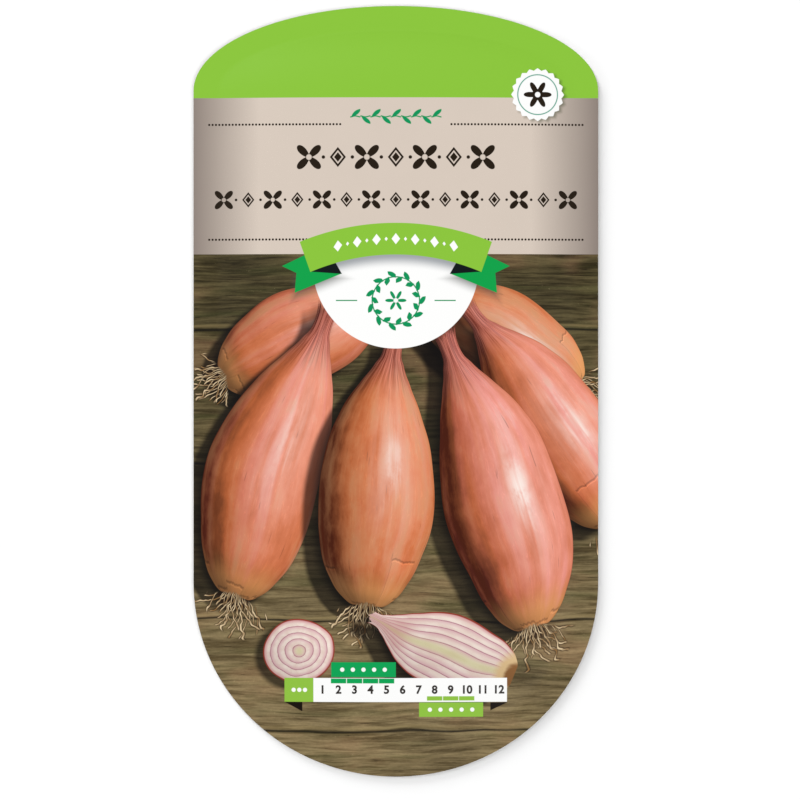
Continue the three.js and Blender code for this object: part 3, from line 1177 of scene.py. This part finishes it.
def make_month_numbers(material):
    """The numbers of the twelve months, as a film of ink on the calendar strip."""
    film = bmesh.new()
    for month in range(12):
        text = bpy.data.curves.new("month", "FONT")
        text.body = str(month + 1)
        text.size, text.extrude, text.offset = NUMBER_HEIGHT, INK_FILM, NUMBER_WEIGHT
        text.align_x, text.align_y, text.resolution_u = "CENTER", "CENTER", 4
        writing = bpy.data.objects.new("month", text)
        shape = bpy.data.meshes.new_from_object(writing)
        middle = (CALENDAR_LOW + CALENDAR_HIGH) / 2
        shape.transform(Matrix.Translation((MONTH_FIRST + month * MONTH_PITCH, middle, 0)))
        film.from_mesh(shape)
        bpy.data.objects.remove(writing)
        bpy.data.meshes.remove(shape)
        bpy.data.curves.remove(text)
    bmesh.ops.remove_doubles(film, verts=film.verts, dist=1e-4)
    bmesh.ops.recalc_face_normals(film, faces=film.faces)
    for point in film.verts:
        point.co.z += FRONT_LOW.z + CARD + dome_height(point.co.x, point.co.y) + INK_FILM
    piece_from(film, "month_numbers", [material], None)


# ---- Plain finishes ----


def make_finish(name, scale, below, above, roughness, depth, metal=0):
    """A material that is mottled between two tones, with a fine bumpy surface."""
    sheet = Sheet(name)
    mottle = noise(vector(sheet.x * scale, sheet.y * scale), 1, 4)
    sheet.colour = blend_inks(mottle.step(0.3, 0.7), below, above)
    return finish_card(sheet, roughness, 0.4, metal, mottle, depth, 0.6)


def dress_inside():
    """The finishes of the inner sachet and the seeds."""
    silver, bright = ink(176, 180, 180), ink(214, 216, 212)
    film = make_finish("sachet_film", 0.35, silver, bright, 0.36, 0.25, metal=0.35)
    seed = make_finish("seed_coat", 2.2, ink(24, 22, 22), ink(58, 54, 52), 0.62, 0.08)
    for node, material in (("sachet_back", film), ("sachet_front", film), ("seeds", seed)):
        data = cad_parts[node].data
        data.materials.clear()
        data.materials.append(material)


# ---- Studio ----

VIEW_SPAN = 166.2 * MM  # what the picture's frame takes in at the packet
VIEW_CENTRE = Vector((0.86, -1.8, 0)) * MM
LENS, SENSOR = 180, 36
FLOOR_TONE, FLOOR_SIZE, FLOOR_DROP = 0.521, 3, 0.05 * MM
SKY_POWER = 0.6
LAMPS = (  # name, place, size, power
    ("key", (-0.9, 0.9, 1.4), 1.2, 19),
    ("fill", (1, -0.8, 1.5), 1.4, 16),
)
# Low lights that draw the packet's soft shadow on the floor alone: name, direction about the
# packet, power. They stand a little above the floor and are wide, both in degrees.
SKIMS = (("skim_top", 123, 5.5), ("skim_left", 180, 1.9))
SKIM_RISE, SKIM_WIDTH = 12, 23


def make_camera():
    data = bpy.data.cameras.new("camera")
    data.lens, data.sensor_width = LENS, SENSOR
    camera = link(bpy.data.objects.new("camera", data))
    camera.location = VIEW_CENTRE + Vector((0, 0, VIEW_SPAN * LENS / SENSOR))
    bpy.context.scene.camera = camera


def make_light(name, place, size, power, kind="AREA"):
    """A square lamp of a size in metres, or a sun as wide as an angle, facing the packet."""
    data = bpy.data.lights.new(name, kind)
    data.energy = power
    setattr(data, "size" if kind == "AREA" else "angle", size)
    lamp = link(bpy.data.objects.new(name, data))
    lamp.location = place
    lamp.rotation_euler = (-Vector(place)).to_track_quat("-Z", "Y").to_euler()
    return lamp


def make_floor():
    mesh = bmesh.new()
    bmesh.ops.create_grid(mesh, x_segments=1, y_segments=1, size=FLOOR_SIZE)
    paint = bpy.data.materials.new("floor_white")
    paint.use_nodes = True
    shader = paint.node_tree.nodes["Principled BSDF"]
    feed(shader, {"Base Color": (*[FLOOR_TONE] * 3, 1), "Roughness": 0.9})
    floor = object_from(mesh, "floor", [paint])
    floor.location.z = -FLOOR_DROP
    return floor


def make_studio():
    scene = bpy.context.scene
    scene.view_settings.view_transform = "Standard"
    scene.world = bpy.data.worlds.new("studio")
    scene.world.use_nodes = True
    sky = scene.world.node_tree.nodes["Background"]
    feed(sky, {"Color": (1, 1, 1, 1), "Strength": SKY_POWER})
    for lamp in LAMPS:
        make_light(*lamp)
    floor_alone = bpy.data.collections.new("floor_alone")
    floor_alone.objects.link(make_floor())
    for name, turn, power in SKIMS:
        place = (*heading(turn), math.tan(math.radians(SKIM_RISE)))
        skim = make_light(name, place, math.radians(SKIM_WIDTH), power, "SUN")
        skim.light_linking.receiver_collection = floor_alone
    make_camera()


core = make_core()
make_back_card(core)
make_front_card(core)
make_month_numbers(make_finish("black_ink", 1, DARK, ink(34, 30, 28), 0.4, 0))
dress_inside()
make_studio()
